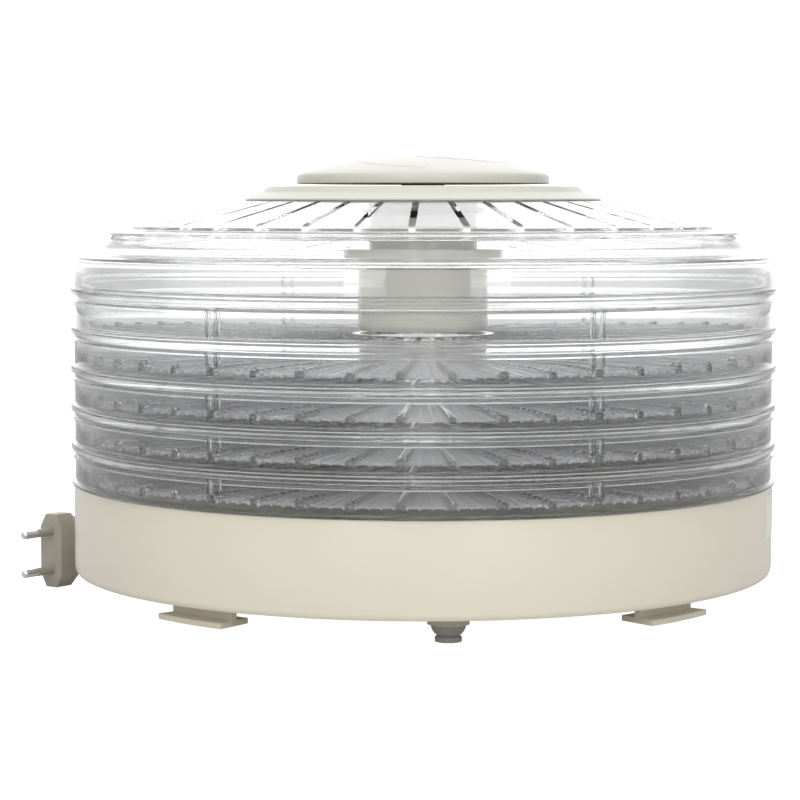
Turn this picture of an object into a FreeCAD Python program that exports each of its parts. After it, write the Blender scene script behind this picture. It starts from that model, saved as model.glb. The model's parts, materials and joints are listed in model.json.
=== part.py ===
import FreeCAD, Part
import math
import os
import re

import Sketcher
from FreeCAD import Placement, Rotation, Vector

# Food dehydrator: a motor base that blows warm air up through four stacked
# trays and a floorless ring, and a slotted lid with a turning vent.
# Millimetres, +Z up, origin on the floor below the centre of the stack,
# front towards -Y.

SIZES = {
    # Base housing
    "base_radius": 160.0,
    "base_bottom": 17.9,
    "base_top": 58.4,
    "base_wall": 2.4,
    "base_edge_round": 2.5,
    "deck_top": 50.4,
    "deck_thick": 2.4,
    "riser_outer": 63.5,
    "riser_inner": 59.0,
    "dais_top": 57.0,
    "dais_thick": 4.4,
    "grille_seat": 50.0,
    "grille_depth": 2.0,
    "outlet_radius": 46.0,
    "boss_place": 120.0,
    "boss_radius": 4.0,
    "cover_screw_radius": 1.5,
    # Bottom cover, skids and feet
    "cover_radius": 157.2,
    "cover_low": 18.2,
    "cover_high": 20.6,
    "foot_place": 104.0,
    "foot_angle": 36.0,
    "foot_boss_radius": 9.0,
    "foot_top": 7.4,
    "foot_radius": 7.5,
    "foot_waist": 4.6,
    "foot_waist_height": 2.5,
    "foot_pad_radius": 5.75,
    "foot_pad_height": 1.9,
    "foot_stem_radius": 3.0,
    "foot_stem_top": 13.0,
    "skid_low": 8.0,
    "skid_lip": 2.4,
    "skid_inner": 130.0,
    "skid_outer": 148.0,
    "skid_web_inner": 137.5,
    "skid_web_outer": 140.5,
    "skid_span": 15.0,
    "skid_angle": 48.0,
    "intake_inner": 36.0,
    "intake_outer": 60.0,
    "intake_width": 3.5,
    "intake_count": 20,
    # Stacking tiers
    "tier_pitch": 17.45,
    "wall_outer": 159.4,
    "wall_inner": 157.6,
    "rim_radius": 161.2,
    "rim_height": 1.5,
    "ridge_radius": 160.6,
    "ridge_low": 12.0,
    "ridge_high": 13.0,
    "skirt_outer": 157.0,
    "skirt_inner": 155.4,
    "skirt_drop": 4.0,
    "floor_low": 3.6,
    "floor_high": 5.2,
    "rib_top": 7.2,
    "rib_width": 3.4,
    "rib_count": 24,
    "short_rib_width": 2.5,
    "short_rib_start": 92.0,
    "hub_inner": 29.0,
    "hub_outer": 33.0,
    "ring_first": 53.0,
    "ring_pitch": 20.0,
    "ring_width": 3.0,
    "post_inner": 154.6,
    "post_width": 3.6,
    "post_top": 11.0,
    "post_count": 6,
    "tier_angle": -3.2,
    # Lid
    "lid_foot": 145.65,
    "lid_wall_low": 160.4,
    "lid_wall_high": 158.6,
    "lid_wall_thick": 1.8,
    "lid_shoulder": 161.3,
    "lid_cone_low": 150.1,
    "lid_cone_high": 142.0,
    "lid_cone_top": 170.3,
    "lid_disc_radius": 145.2,
    "lid_disc_low": 170.4,
    "lid_disc_high": 171.4,
    "lid_step_radius": 134.2,
    "lid_step_low": 172.4,
    "lid_step_high": 174.2,
    "lid_crown_radius": 82.5,
    "lid_crown": 185.6,
    "lid_hole": 70.0,
    "lid_thick": 2.0,
    "slot_inner": 85.5,
    "slot_outer": 128.5,
    "slot_width": 3.0,
    "slot_count": 36,
    "slot_angle": 8.0,
    # Vent
    "collar_radius": 81.6,
    "collar_lip": 0.8,
    "collar_knee": 74.0,
    "collar_knee_height": 189.2,
    "collar_edge": 71.5,
    "collar_top": 192.1,
    "collar_thick": 2.0,
    "spigot_inner": 67.5,
    "spigot_outer": 69.7,
    "spigot_low": 183.0,
    "hub_bore": 7.05,
    "hub_radius": 11.0,
    "hub_low": 188.6,
    "window_inner": 16.0,
    "window_outer": 52.0,
    "window_span": 30.0,
    "window_count": 6,
    "knob_radius": 58.0,
    "knob_low": 193.2,
    "knob_side_top": 197.0,
    "knob_shoulder": 55.0,
    "knob_shoulder_height": 198.7,
    "knob_flat": 8.0,
    "knob_mid": 28.0,
    "knob_mid_height": 204.45,
    "knob_top": 206.4,
    "knob_thick": 2.0,
    "knob_boss": 10.0,
    "stem_radius": 7.0,
    "stem_low": 188.3,
    "stem_bore_top": 197.0,
    "shutter_radius": 56.0,
    "shutter_thick": 2.0,
    "neck_outer": 25.0,
    "neck_inner": 23.0,
    "neck_plate": 2.0,
    "cup_flange": 36.8,
    "cup_flange_high": 168.0,
    "cup_flange_low": 159.1,
    "cup_radius": 29.9,
    "cup_taper": 125.0,
    "cup_low": 120.5,
    "cup_mouth": 28.6,
    "cup_thick": 1.8,
    "vent_screw_radius": 1.6,
    "vent_screw_head": 4.5,
    "vent_screw_head_height": 2.3,
    "seal_outer": 28.0,
    "seal_low": 178.0,
    "seal_high": 181.0,
    # Outlet grille
    "grille_radius": 49.7,
    "grille_bar": 2.0,
    "grille_pitch": 8.0,
    "grille_spokes": 8,
    # Motor and fan
    "stator_half": 24.0,
    "stator_front": -18.0,
    "stator_back": 36.0,
    "stator_low": 24.0,
    "stator_high": 36.0,
    "stator_bore": 12.3,
    "window_half": 14.0,
    "window_front": 16.0,
    "leg_front": 26.0,
    "coil_half": 12.0,
    "coil_front": 22.0,
    "coil_back": 40.0,
    "coil_low": 21.0,
    "coil_high": 39.0,
    "rotor_radius": 11.8,
    "rotor_inset": 0.5,
    "shaft_radius": 2.0,
    "shaft_low": 21.6,
    "shaft_high": 51.0,
    "bush_radius": 4.5,
    "bush_clearance": 0.05,
    "bush_length": 2.4,
    "strap_half": 33.0,
    "strap_width": 13.0,
    "strap_thick": 1.4,
    "strap_gap": 1.0,
    "strap_pad_inner": 17.0,
    "motor_screw_place": 20.0,
    "motor_screw_radius": 1.5,
    "mount_place": 29.0,
    "mount_radius": 1.4,
    "screw_head_height": 1.5,
    "fan_radius": 42.0,
    "fan_hub": 9.0,
    "fan_low": 40.5,
    "fan_high": 50.0,
    "blade_count": 7,
    "blade_thick": 1.4,
    "blade_reach": 7.0,
    "blade_low": 42.0,
    "blade_high": 49.5,
    # Duct and heater
    "duct_inner": 64.8,
    "duct_outer": 66.0,
    "duct_flange": 76.0,
    "duct_low": 25.0,
    "duct_thick": 1.2,
    "duct_pad_face": 68.0,
    "duct_pad_left": -24.0,
    "duct_pad_right": 10.0,
    "duct_pad_low": 28.0,
    "duct_pad_high": 44.0,
    "duct_screw_place": 71.0,
    "duct_screw_radius": 1.2,
    "duct_screw_top": 49.8,
    "mica_inner": 46.0,
    "mica_outer": 64.6,
    "mica_low": 26.2,
    "mica_high": 44.0,
    "mica_thick": 1.2,
    "heater_radius": 55.0,
    "heater_wire": 2.0,
    "heater_hole": 2.4,
    "heater_low": 31.5,
    "heater_rise": 7.5,
    "thermostat_radius": 7.5,
    "thermostat_height": 6.0,
    "thermostat_z": 36.0,
    "fuse_radius": 2.0,
    "fuse_length": 10.0,
    "fuse_place": -17.0,
    # Wiring
    "exit_height": 30.0,
    "block_half": 17.0,
    "block_front": 93.0,
    "block_back": 107.0,
    "block_high": 33.6,
    "well_radius": 2.4,
    "well_pitch": 11.0,
    "well_floor": 26.0,
    "terminal_screw_top": 29.0,
    "lead_radius": 1.0,
    "lead_height": 22.6,
    "lead_place": 5.0,
    "clamp_half": 14.0,
    "clamp_front": 122.0,
    "clamp_width": 9.0,
    "clamp_low": 29.0,
    "clamp_high": 35.0,
    "clamp_screw_place": 10.0,
    "clamp_screw_radius": 1.3,
    "saddle_half": 5.0,
    "relief_inside": 152.0,
    "relief_wall_inner": 157.2,
    "relief_wall_outer": 160.2,
    "relief_flange": 8.5,
    "relief_neck": 5.9,
    "relief_collar": 7.5,
    "relief_collar_end": 163.0,
    "relief_root": 5.6,
    "relief_tip": 4.0,
    "relief_end": 192.0,
    "relief_hole": 6.1,
    "cord_radius": 3.0,
    # Coil of put-away cord behind the base
    "coil_x": -99.0,
    "coil_y": 234.5,
    "coil_mean": 33.0,
    "coil_solid_half": 9.0,
    "coil_layers": 2,
    "coil_turns": 4.25,
    # Two-pin plug
    "plug_x": -179.0,
    "plug_y": 40.0,
    "plug_angle": -125.8,
    "plug_half_tall": 17.65,
    "plug_half_wide": 6.85,
    "plug_end_half": 3.4,
    "plug_side_half": 11.5,
    "plug_depth": 10.0,
    "plug_taper": 24.0,
    "plug_neck_tall": 7.0,
    "plug_neck_wide": 5.4,
    "plug_neck_end": 2.4,
    "plug_neck_side": 4.0,
    "plug_tail": 36.0,
    "tail_root": 5.0,
    "tail_tip": 4.0,
    "pin_place": 9.3,
    "pin_radius": 2.0,
    "pin_core": 1.4,
    "pin_sleeve": 2.0,
    "pin_sleeve_end": 10.0,
    "pin_length": 19.0,
}

TRAY_COUNT = 4

doc = FreeCAD.newDocument("FoodDehydrator")
sheet = doc.addObject("Spreadsheet::Sheet", "Sizes")
for row, (word, number) in enumerate(SIZES.items(), start=1):
    sheet.set(f"A{row}", word)
    sheet.set(f"B{row}", str(number))
    sheet.setAlias(f"B{row}", word)
doc.recompute()

ALIAS = re.compile(r"\b(" + "|".join(SIZES) + r")\b")
pieces = []


def bound(text):
    """A size written in sheet words, as an expression other objects can hold."""
    return ALIAS.sub(r"Sizes.\1", text)


def value(text):
    """The number that a size written in sheet words stands for."""
    return float(sheet.evalExpression(text))


def keep(item, label):
    """Give a finished piece its own label and list it for export."""
    item.Label = label
    pieces.append(item)
    return item


def set_place(item, place, turn=None):
    """Bind an object's position, after turning it about a given axis."""
    if turn:
        item.Placement = Placement(Vector(), turn)
    for axis, text in zip("xyz", place):
        item.setExpression(f".Placement.Base.{axis}", bound(text))


# ---- PartDesign helpers ----

def new_body(name):
    return doc.addObject("PartDesign::Body", name)


def origin_part(body, role):
    return next(item for item in body.Origin.OriginFeatures if item.Role == role)


def new_sketch(body, name, role="XY_Plane", height="0", turn=None):
    """A sketch on one of the body's own origin planes, raised by height."""
    sketch = body.newObject("Sketcher::SketchObject", name)
    sketch.AttachmentSupport = [(origin_part(body, role), "")]
    sketch.MapMode = "FlatFace"
    if turn:
        sketch.AttachmentOffset = Placement(Vector(), turn)
    sketch.setExpression(".AttachmentOffset.Base.z", bound(height))
    return sketch


def bind_point(sketch, geometry, end, x, y):
    for kind, text in (("DistanceX", x), ("DistanceY", y)):
        index = sketch.addConstraint(Sketcher.Constraint(kind, geometry, end, value(text)))
        sketch.setExpression(f"Constraints[{index}]", bound(text))


def end_at(sketch, geometry, point):
    """1 or 2: which end of an edge lies at the point."""
    return 1 if sketch.Geometry[geometry].StartPoint.distanceToPoint(point) < 1e-6 else 2


def outline(sketch, corners, bulges=None):
    """A closed outline through corners given as pairs of sheet expressions.

    bulges maps a corner's index to a point that the edge after it bends through.
    """
    bulges = bulges or {}
    points = [Vector(value(x), value(y), 0) for x, y in corners]
    count = len(points)
    edges = []
    for i, start in enumerate(points):
        end = points[(i + 1) % count]
        if i in bulges:
            through = Vector(*(value(text) for text in bulges[i]), 0)
            anticlockwise = (through - start).cross(end - through).z > 0
            ends = (start, through, end) if anticlockwise else (end, through, start)
            edges.append(sketch.addGeometry(Part.Arc(*ends), False))
        else:
            edges.append(sketch.addGeometry(Part.LineSegment(start, end), False))
    for i, corner in enumerate(points):
        before = edges[i - 1]
        after = edges[i]
        bind_point(sketch, after, end_at(sketch, after, corner), *corners[i])
        sketch.addConstraint(Sketcher.Constraint(
            "Coincident", before, end_at(sketch, before, corner), after, end_at(sketch, after, corner)))
    for i, (x, y) in bulges.items():
        mark = sketch.addGeometry(Part.Point(Vector(value(x), value(y), 0)), True)
        bind_point(sketch, mark, 1, x, y)
        sketch.addConstraint(Sketcher.Constraint("PointOnObject", mark, 1, edges[i]))


def rectangle(sketch, left, low, right, high):
    outline(sketch, [(left, low), (right, low), (right, high), (left, high)])


def circle(sketch, x, y, radius):
    place = Vector(value(x), value(y), 0)
    index = sketch.addGeometry(Part.Circle(place, Vector(0, 0, 1), value(radius)), False)
    bind_point(sketch, index, 3, x, y)
    size = sketch.addConstraint(Sketcher.Constraint("Radius", index, value(radius)))
    sketch.setExpression(f"Constraints[{size}]", bound(radius))


def revolve(body, sketch, name, angle=None):
    """Turn a sketch about its own vertical axis, all the way or by an angle."""
    turned = body.newObject("PartDesign::Revolution", name)
    turned.Profile = sketch
    turned.ReferenceAxis = (sketch, ["V_Axis"])
    if angle:
        turned.Midplane = True
        turned.setExpression("Angle", bound(angle))
    return turned


def pad(body, sketch, length, name):
    raised = body.newObject("PartDesign::Pad", name)
    raised.Profile = sketch
    raised.setExpression("Length", bound(length))
    return raised


def pocket(body, sketch, length, name):
    """Cut a sketch downwards, and make sure that something was removed."""
    doc.recompute()
    before = body.Shape.Volume
    cut = body.newObject("PartDesign::Pocket", name)
    cut.Profile = sketch
    cut.setExpression("Length", bound(length))
    doc.recompute()
    if not cut.Shape.Volume < before:
        raise RuntimeError(f"{name} removes nothing")
    return cut


def repeat_round(body, feature, count, name):
    """Repeat a feature evenly round the body's vertical axis."""
    pattern = body.newObject("PartDesign::PolarPattern", name)
    pattern.Originals = [feature]
    pattern.Axis = (origin_part(body, "Z_Axis"), [""])
    pattern.Angle = 360
    pattern.setExpression("Occurrences", bound(count))
    body.Tip = pattern
    return pattern


def turned_piece(name, corners, bulges=None):
    """A whole piece made by one outline turned about the Z axis."""
    body = new_body(name)
    profile = new_sketch(body, f"{name}_profile", "XZ_Plane")
    outline(profile, corners, bulges)
    revolve(body, profile, f"{name}_turned")
    return keep(body, name)


def circle_holes(body, name, places, radius, top, depth):
    """Drill round holes at places, from top downwards."""
    sketch = new_sketch(body, f"{name}_sketch", height=top)
    for x, y in places:
        circle(sketch, x, y, radius)
    return pocket(body, sketch, depth, name)


def circle_pads(body, name, places, radius, low, length):
    """Raise round bosses at places, from low upwards."""
    sketch = new_sketch(body, f"{name}_sketch", height=low)
    for x, y in places:
        circle(sketch, x, y, radius)
    return pad(body, sketch, length, name)


# ---- Part primitive helpers ----

def box(name, left, front, low, right, back, high):
    item = doc.addObject("Part::Box", name)
    item.setExpression("Length", bound(f"({right}) - ({left})"))
    item.setExpression("Width", bound(f"({back}) - ({front})"))
    item.setExpression("Height", bound(f"({high}) - ({low})"))
    set_place(item, (left, front, low))
    return item


def rod(name, radius, x, y, low, high):
    item = doc.addObject("Part::Cylinder", name)
    item.setExpression("Radius", bound(radius))
    item.setExpression("Height", bound(f"({high}) - ({low})"))
    set_place(item, (x, y, low))
    return item


def rod_along_y(name, radius, x, front, back, height):
    item = doc.addObject("Part::Cylinder", name)
    item.setExpression("Radius", bound(radius))
    item.setExpression("Height", bound(f"({back}) - ({front})"))
    set_place(item, (x, front, height), Rotation(Vector(1, 0, 0), -90))
    return item


def joined(name, items):
    whole = doc.addObject("Part::MultiFuse", name)
    whole.Shapes = items
    return whole


def grouped(name, items):
    """Separate solids that share one node."""
    whole = doc.addObject("Part::Compound", name)
    whole.Links = items
    return whole


def without(name, base, tool):
    rest = doc.addObject("Part::Cut", name)
    rest.Base = base
    rest.Tool = tool
    return rest


def screws(name, places, radius, low, high, head_radius, head_low):
    """Plain screws that share one node: a shank and a head each."""
    items = []
    for i, (x, y) in enumerate(places):
        shank = rod(f"{name}_shank_{i}", radius, x, y, low, high)
        head = rod(f"{name}_head_{i}", head_radius, x, y, head_low, f"{head_low} + screw_head_height")
        items.append(joined(f"{name}_{i}", [shank, head]))
    return keep(grouped(name, items), name)


def round_places(radius, count, start):
    """Evenly spaced places on a circle, as sheet expressions."""
    places = []
    for i in range(count):
        angle = f"({start} + {i * 360 / count:g})"
        places.append((f"{radius} * cos{angle}", f"{radius} * sin{angle}"))
    return places


# ---- Base ----

COVER_SCREWS = round_places("boss_place", 4, "45")
DUCT_SCREWS = round_places("duct_screw_place", 3, "90")
FOOT_PLACES = round_places("foot_place", 3, "foot_angle")
CLAMP_SCREWS = [("-clamp_screw_place", "clamp_front + clamp_width / 2"),
                ("clamp_screw_place", "clamp_front + clamp_width / 2")]
MOUNT_SCREWS = [("-mount_place", "0"), ("mount_place", "0")]
MOTOR_SCREWS = [("-motor_screw_place", "0"), ("motor_screw_place", "0")]


def base_housing():
    """Round shell with a deck, a raised air outlet and four screw bosses."""
    body = new_body("base_housing")
    profile = new_sketch(body, "housing_profile", "XZ_Plane")
    inner = "base_radius - base_wall"
    deck_low = "deck_top - deck_thick"
    outline(profile, [
        ("base_radius", "base_bottom + base_edge_round"),
        ("base_radius", "base_top"),
        (inner, "base_top"),
        (inner, "deck_top"),
        ("riser_outer", "deck_top"),
        ("riser_inner", "dais_top"),
        ("grille_seat", "dais_top"),
        ("grille_seat", "dais_top - grille_depth"),
        ("outlet_radius", "dais_top - grille_depth"),
        ("outlet_radius", "dais_top - dais_thick"),
        ("riser_inner - deck_thick", "dais_top - dais_thick"),
        ("riser_outer - deck_thick", deck_low),
        (inner, deck_low),
        (inner, "base_bottom"),
        ("base_radius - base_edge_round / 3", "base_bottom"),
    ], {14: ("base_radius - base_edge_round / 7", "base_bottom + base_edge_round / 3")})
    revolve(body, profile, "housing_turned")
    circle_pads(body, "cover_bosses", COVER_SCREWS, "boss_radius", "cover_high",
                "deck_top - cover_high - deck_thick / 2")
    circle_holes(body, "cover_bores", COVER_SCREWS, "cover_screw_radius", "deck_top - deck_thick",
                 "deck_top - deck_thick - cover_high")
    circle_holes(body, "duct_bores", DUCT_SCREWS, "duct_screw_radius", "duct_screw_top",
                 "duct_screw_top - deck_top + deck_thick")
    opening = new_sketch(body, "cord_opening_sketch", "XZ_Plane")
    circle(opening, "0", "exit_height", "relief_hole")
    pocket(body, opening, "base_radius + base_wall", "cord_opening")
    return keep(body, "base_housing")


def bottom_cover():
    """Round plate with foot bosses, skids, intake slots and motor seats."""
    body = new_body("bottom_cover")
    profile = new_sketch(body, "cover_profile", "XZ_Plane")
    rectangle(profile, "0", "cover_low", "cover_radius", "cover_high")
    revolve(body, profile, "cover_turned")
    skid = new_sketch(body, "skid_profile", "XZ_Plane", turn=Rotation(Vector(0, 1, 0), value("skid_angle")))
    outline(skid, [
        ("skid_inner", "skid_low"),
        ("skid_outer", "skid_low"),
        ("skid_outer", "skid_low + skid_lip"),
        ("skid_web_outer", "skid_low + skid_lip"),
        ("skid_web_outer", "cover_low + 0.5"),
        ("skid_web_inner", "cover_low + 0.5"),
        ("skid_web_inner", "skid_low + skid_lip"),
        ("skid_inner", "skid_low + skid_lip"),
    ])
    skid_turned = revolve(body, skid, "skid", "skid_span")
    repeat_round(body, skid_turned, "4", "skids")
    circle_pads(body, "foot_bosses", FOOT_PLACES, "foot_boss_radius", "foot_top", "cover_low + 0.5 - foot_top")
    seat_top = "stator_low - strap_gap - strap_thick"
    circle_pads(body, "motor_seats", MOUNT_SCREWS, "boss_radius", "cover_high - 0.5",
                f"{seat_top} - cover_high + 0.5")
    circle_pads(body, "clamp_bosses", CLAMP_SCREWS, "boss_radius", "cover_high - 0.5",
                "clamp_low - cover_high + 0.5")
    saddle = new_sketch(body, "saddle_sketch", height="cover_high - 0.5")
    rectangle(saddle, "-saddle_half", "clamp_front", "saddle_half", "clamp_front + clamp_width")
    pad(body, saddle, "exit_height - cord_radius - cover_high + 0.5", "saddle")
    circle_holes(body, "foot_bores", FOOT_PLACES, "foot_stem_radius", "foot_stem_top", "foot_stem_top - foot_top")
    circle_holes(body, "cover_holes", COVER_SCREWS, "cover_screw_radius", "cover_high", "cover_high - cover_low")
    circle_holes(body, "mount_holes", MOUNT_SCREWS, "mount_radius", seat_top, f"{seat_top} - cover_low")
    circle_holes(body, "clamp_holes", CLAMP_SCREWS, "clamp_screw_radius", "clamp_low", "clamp_low - cover_high")
    slot = new_sketch(body, "intake_sketch", height="cover_high")
    rectangle(slot, "intake_inner", "-intake_width / 2", "intake_outer", "intake_width / 2")
    cut = pocket(body, slot, "cover_high - cover_low", "intake_slot")
    repeat_round(body, cut, "intake_count", "intake_slots")
    return keep(body, "bottom_cover")


def foot(index, place):
    """Rubber foot: a small pad, a rounded bulb and a stem that plugs into the cover."""
    piece = turned_piece(f"foot_{index}", [
        ("0", "0"),
        ("foot_pad_radius", "0"),
        ("foot_pad_radius", "foot_pad_height"),
        ("foot_waist", "foot_waist_height"),
        ("foot_radius", "foot_top"),
        ("foot_stem_radius", "foot_top"),
        ("foot_stem_radius", "foot_stem_top"),
        ("0", "foot_stem_top"),
    ], {3: ("foot_radius * 0.9", "foot_top * 0.62")})
    set_place(piece, (*place, "0"))


def outlet_grille():
    """Round grille of rings and spokes over the fan."""
    body = new_body("outlet_grille")
    low = "dais_top - grille_depth"
    profile = new_sketch(body, "grille_profile", "XZ_Plane")
    rectangle(profile, "0", low, "grille_pitch", "dais_top")
    for i in range(2, 6):
        rectangle(profile, f"grille_pitch * {i} - grille_bar", low, f"grille_pitch * {i}", "dais_top")
    rectangle(profile, "outlet_radius - grille_bar", low, "grille_radius", "dais_top")
    revolve(body, profile, "grille_rings")
    spoke = new_sketch(body, "spoke_sketch", height=low)
    rectangle(spoke, "grille_pitch / 2", "-grille_bar / 2", "outlet_radius", "grille_bar / 2")
    raised = pad(body, spoke, "grille_depth", "grille_spoke")
    repeat_round(body, raised, "grille_spokes", "grille_spokes_all")
    return keep(body, "outlet_grille")


# ---- Motor and fan ----

def stator():
    """Laminated shaded-pole frame with a rotor bore and a window for the winding."""
    plate = box("stator_plate", "-stator_half", "stator_front", "stator_low",
                "stator_half", "stator_back", "stator_high")
    bore = rod("stator_bore_tool", "stator_bore", "0", "0", "stator_low", "stator_high")
    window = box("stator_window", "-window_half", "window_front", "stator_low",
                 "window_half", "leg_front", "stator_high")
    holes = [rod(f"stator_hole_{i}", "motor_screw_radius", x, y, "stator_low", "stator_high")
             for i, (x, y) in enumerate(MOTOR_SCREWS)]
    keep(without("motor_stator", plate, joined("stator_tools", [bore, window, *holes])), "motor_stator")


def winding():
    """Bobbin of wire round the closed leg of the stator."""
    bulk = box("winding_bulk", "-coil_half", "coil_front", "coil_low", "coil_half", "coil_back", "coil_high")
    leg = box("winding_leg", "-coil_half", "leg_front", "stator_low", "coil_half", "stator_back", "stator_high")
    keep(without("motor_coil", bulk, leg), "motor_coil")


def bracket(name, strap_low, pads_low, half_length, ears):
    """Flat strap across the stator that holds a bush; ears are the extra screw places."""
    strap_high = f"{strap_low} + strap_thick"
    strap = box(f"{name}_strap", f"-({half_length})", "-strap_width / 2", strap_low,
                half_length, "strap_width / 2", strap_high)
    left = box(f"{name}_left", "-stator_half", "-strap_width / 2", pads_low,
               "-strap_pad_inner", "strap_width / 2", f"{pads_low} + strap_gap")
    right = box(f"{name}_right", "strap_pad_inner", "-strap_width / 2", pads_low,
                "stator_half", "strap_width / 2", f"{pads_low} + strap_gap")
    tools = [rod(f"{name}_bush_hole", "bush_radius", "0", "0", strap_low, strap_high)]
    for i, (x, y) in enumerate(MOTOR_SCREWS):
        tools.append(rod(f"{name}_hole_{i}", "motor_screw_radius", x, y,
                         f"{strap_low} - strap_gap", f"{strap_high} + strap_gap"))
    for i, (x, y) in enumerate(ears):
        tools.append(rod(f"{name}_ear_hole_{i}", "mount_radius", x, y, strap_low, strap_high))
    whole = joined(f"{name}_blank", [strap, left, right])
    keep(without(name, whole, joined(f"{name}_tools", tools)), name)


def bush(name, low):
    """Sintered sleeve bearing that the shaft runs in."""
    turned_piece(name, [
        ("shaft_radius + bush_clearance", low),
        ("bush_radius", low),
        ("bush_radius", f"{low} + bush_length"),
        ("shaft_radius + bush_clearance", f"{low} + bush_length"),
    ])


def motor():
    stator()
    winding()
    turned_piece("motor_rotor", [
        ("shaft_radius", "stator_low + rotor_inset"),
        ("rotor_radius", "stator_low + rotor_inset"),
        ("rotor_radius", "stator_high - rotor_inset"),
        ("shaft_radius", "stator_high - rotor_inset"),
    ])
    turned_piece("motor_shaft", [
        ("0", "shaft_low"),
        ("shaft_radius", "shaft_low"),
        ("shaft_radius", "shaft_high"),
        ("0", "shaft_high"),
    ])
    lower_strap = "stator_low - strap_gap - strap_thick"
    upper_strap = "stator_high + strap_gap"
    bracket("motor_bracket_lower", lower_strap, "stator_low - strap_gap", "strap_half", MOUNT_SCREWS)
    bracket("motor_bracket_upper", upper_strap, "stator_high", "stator_half", [])
    bush("bush_lower", f"{lower_strap} - 0.5")
    bush("bush_upper", f"{upper_strap} - 0.5")
    screws("motor_screws", MOTOR_SCREWS, "motor_screw_radius", lower_strap, f"{upper_strap} + strap_thick",
           "3", f"{upper_strap} + strap_thick")
    screws("mount_screws", MOUNT_SCREWS, "mount_radius", "cover_low", "stator_low - strap_gap",
           "2.8", "stator_low - strap_gap")


def blade_section(body, name, reach, low, high, skew):
    """Cross-section of a blade, upright and square to the radius, leaning by skew."""
    sketch = new_sketch(body, name, "YZ_Plane", reach)
    outline(sketch, [
        (f"-({skew}) - blade_thick / 2", low),
        (f"-({skew}) + blade_thick / 2", low),
        (f"{skew} + blade_thick / 2", high),
        (f"{skew} - blade_thick / 2", high),
    ])
    return sketch


def impeller():
    """Axial fan: a hub on the shaft and seven twisted blades."""
    body = new_body("fan_impeller")
    profile = new_sketch(body, "fan_profile", "XZ_Plane")
    rectangle(profile, "shaft_radius", "fan_low", "fan_hub", "fan_high")
    revolve(body, profile, "fan_hub_turned")
    root = blade_section(body, "blade_root", "fan_hub - blade_thick", "blade_low", "blade_high", "blade_reach / 2")
    tip = blade_section(body, "blade_tip", "fan_radius", "blade_low + blade_thick",
                        "blade_high - blade_thick", "blade_reach")
    blade = body.newObject("PartDesign::AdditiveLoft", "blade")
    blade.Profile = root
    blade.Sections = [tip]
    repeat_round(body, blade, "blade_count", "blades")
    keep(body, "fan_impeller")


# ---- Duct, heater and safety parts ----

def duct():
    """Sheet-metal ring round the motor and heater, with a flange and a flat seat."""
    body = new_body("fan_duct")
    profile = new_sketch(body, "duct_profile", "XZ_Plane")
    deck_low = "deck_top - deck_thick"
    outline(profile, [
        ("duct_inner", "duct_low"),
        ("duct_outer", "duct_low"),
        ("duct_outer", f"{deck_low} - duct_thick"),
        ("duct_flange", f"{deck_low} - duct_thick"),
        ("duct_flange", deck_low),
        ("duct_inner", deck_low),
    ])
    revolve(body, profile, "duct_turned")
    seat = new_sketch(body, "duct_seat_sketch", height="duct_pad_low")
    rectangle(seat, "-duct_pad_face", "duct_pad_left", "-duct_inner + 6", "duct_pad_right")
    pad(body, seat, "duct_pad_high - duct_pad_low", "duct_seat")
    bore = new_sketch(body, "duct_bore_sketch", height=deck_low)
    circle(bore, "0", "0", "duct_inner")
    pocket(body, bore, f"{deck_low} - duct_low", "duct_bore")
    circle_holes(body, "duct_holes", DUCT_SCREWS, "duct_screw_radius", deck_low, "duct_thick")
    keep(body, "fan_duct")


def heater():
    """Mica frame of one ring and four upright plates, and two rings of heating wire."""
    coils = []
    tools = []
    for i in range(2):
        for name, wire, items in (("heater_ring", "heater_wire", coils), ("heater_path", "heater_hole", tools)):
            ring = doc.addObject("Part::Torus", f"{name}_{i}")
            ring.setExpression("Radius1", bound("heater_radius"))
            ring.setExpression("Radius2", bound(wire))
            set_place(ring, ("0", "0", f"heater_low + heater_rise * {i}"))
            items.append(ring)
    keep(grouped("heater_coils", coils), "heater_coils")
    outer = rod("mica_disc", "mica_outer", "0", "0", "mica_low", "mica_low + mica_thick")
    inner = rod("mica_opening", "mica_inner", "0", "0", "mica_low", "mica_low + mica_thick")
    plates = [without("mica_ring", outer, inner)]
    half = "mica_thick / 2"
    for name, left, front, right, back in (
            ("right", "mica_inner", f"-{half}", "mica_outer", half),
            ("left", "-mica_outer", f"-{half}", "-mica_inner", half),
            ("back", f"-{half}", "mica_inner", half, "mica_outer"),
            ("front", f"-{half}", "-mica_outer", half, "-mica_inner")):
        plates.append(box(f"mica_{name}", left, front, "mica_low", right, back, "mica_high"))
    keep(without("heater_frame", joined("mica_plates", plates), joined("mica_paths", tools)), "heater_frame")


def safety_parts():
    """Bimetal thermostat and thermal fuse on the duct's flat seat."""
    cap = doc.addObject("Part::Cylinder", "thermostat_cap")
    cap.setExpression("Radius", bound("thermostat_radius"))
    cap.setExpression("Height", bound("thermostat_height"))
    set_place(cap, ("-duct_pad_face", "0", "thermostat_z"), Rotation(Vector(0, 1, 0), -90))
    outside = "-duct_pad_face - thermostat_height"
    tabs = [box(f"thermostat_tab_{name}", f"{outside} - 5", f"{side} - 2", "thermostat_z - 0.4",
                outside, f"{side} + 2", "thermostat_z + 0.4")
            for name, side in (("near", "-4"), ("far", "4"))]
    keep(joined("thermostat", [cap, *tabs]), "thermostat")
    length = "fuse_length / 2"
    keep(rod("thermal_fuse", "fuse_radius", "-duct_pad_face - fuse_radius", "fuse_place",
             f"thermostat_z - {length}", f"thermostat_z + {length}"), "thermal_fuse")


# ---- Wiring inside the base ----

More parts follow.
